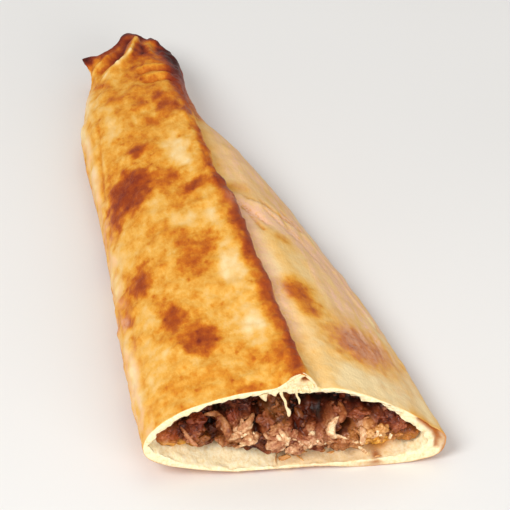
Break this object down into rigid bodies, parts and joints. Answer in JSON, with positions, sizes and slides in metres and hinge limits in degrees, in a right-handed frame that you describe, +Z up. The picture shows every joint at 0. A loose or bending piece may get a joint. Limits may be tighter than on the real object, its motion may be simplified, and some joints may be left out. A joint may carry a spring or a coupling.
{
  "type": "cut half of a closed minced meat pide",
  "caption": "Cut half of a closed boat-shaped flatbread: a golden domed crust with a lapped seam and pinched tip round a minced filling that shows at the slanted cut.",
  "frame": {"origin": "middle of the bounding box's underside, on the surface that the flat base rests on", "axes": "+Y along the length from the cut end to the pinched tip, +X to the right seen from the cut end, +Z up"},
  "size_m": [0.105, 0.2566, 0.0444],
  "materials": {
    "crust": "baked bread crust, golden with brown blisters and a floury edge, satin to matt",
    "mince": "cooked minced meat with soft onion, crumbly, moist in places"
  },
  "bodies": {
    "root": {"dough": "crust", "filling": "mince"}
  },
  "joints": []
}
